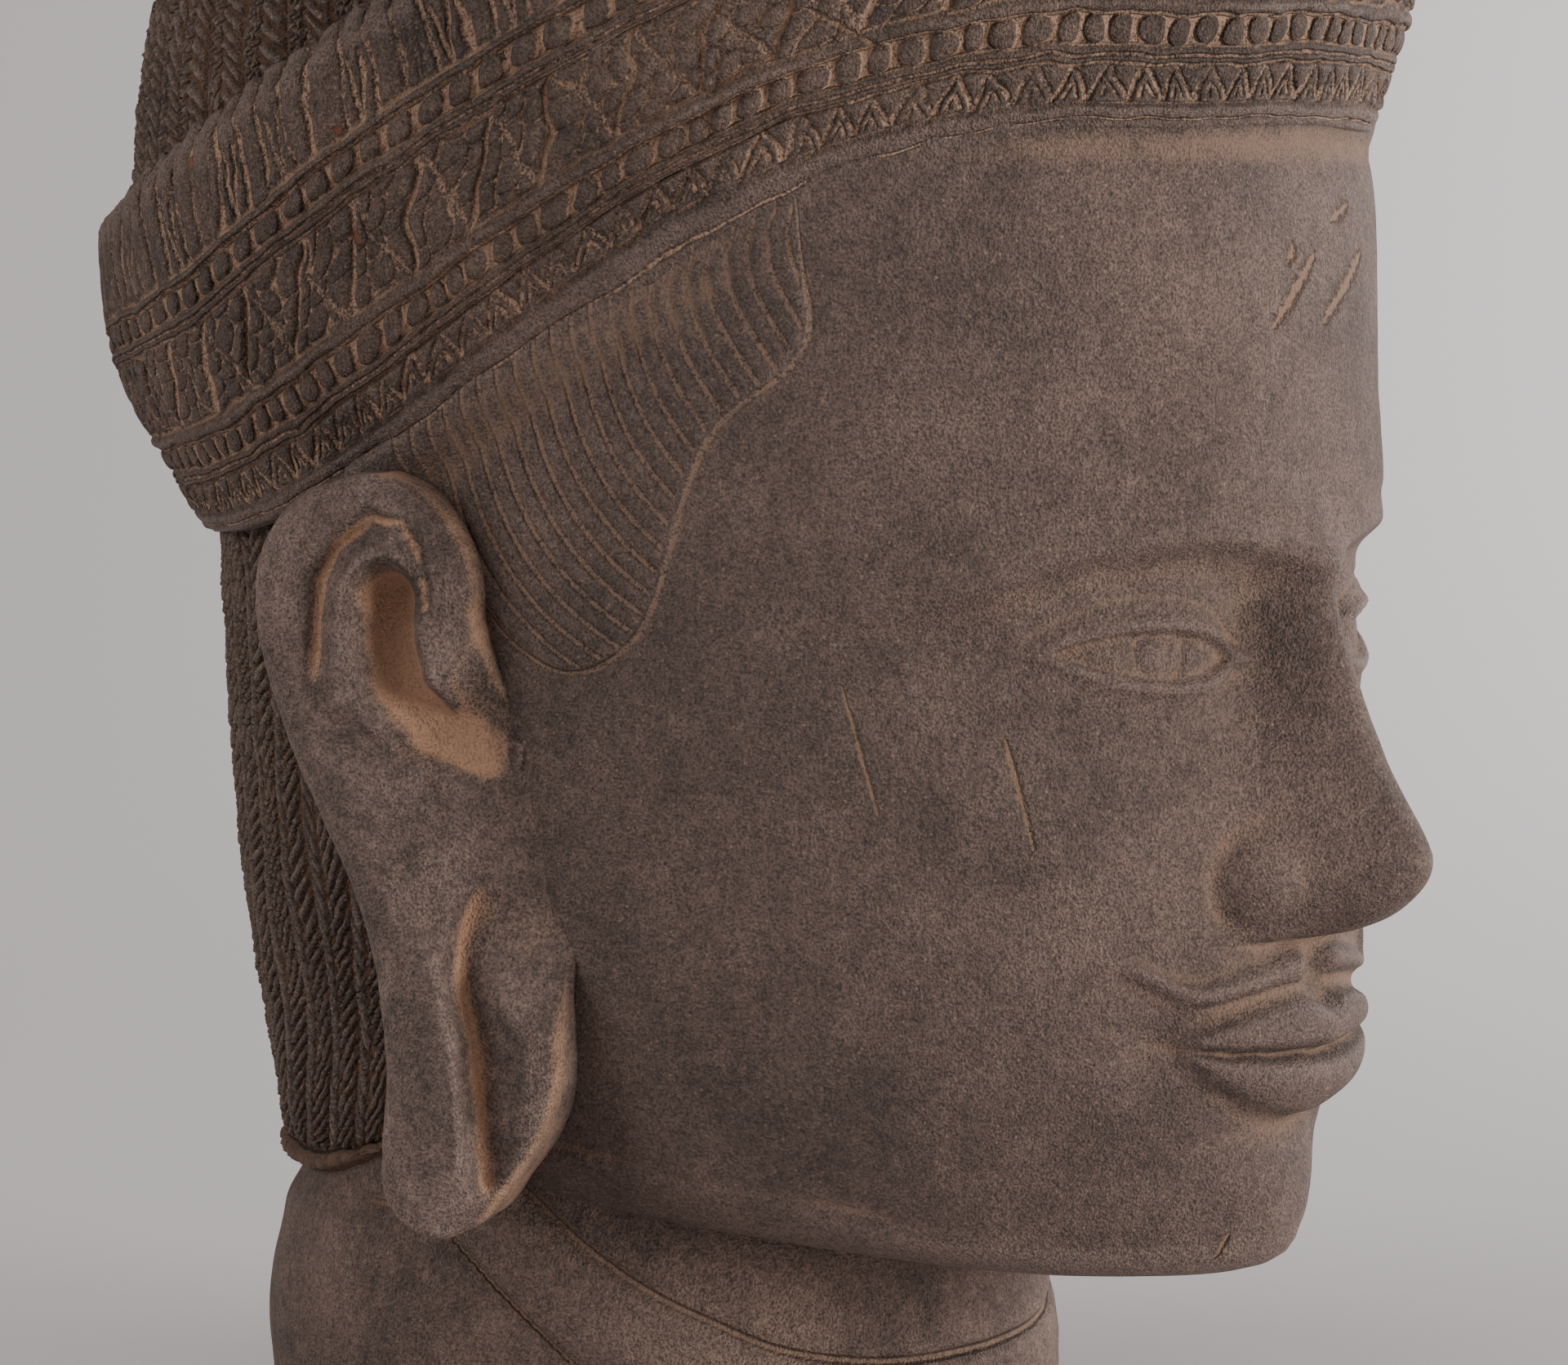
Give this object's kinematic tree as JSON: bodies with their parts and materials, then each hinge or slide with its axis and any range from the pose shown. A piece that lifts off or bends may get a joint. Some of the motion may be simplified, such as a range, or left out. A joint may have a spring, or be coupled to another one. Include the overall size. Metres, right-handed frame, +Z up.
{
  "type": "carved stone head",
  "caption": "Carved sandstone head of a crowned deity with a flared diadem, braided hair, topknot and long ear lobes, cut flat below the neck so it stands by its own weight.",
  "frame": {"origin": "centre of the neck's flat underside", "axes": "+Z up; the face looks along -Y; the figure's right ear is at -X"},
  "size_m": [0.1866, 0.2275, 0.3356],
  "materials": {
    "stone": "matt brown-grey sandstone with tan dust in the carving"
  },
  "bodies": {
    "root": {"stone_head": "stone"}
  },
  "joints": []
}
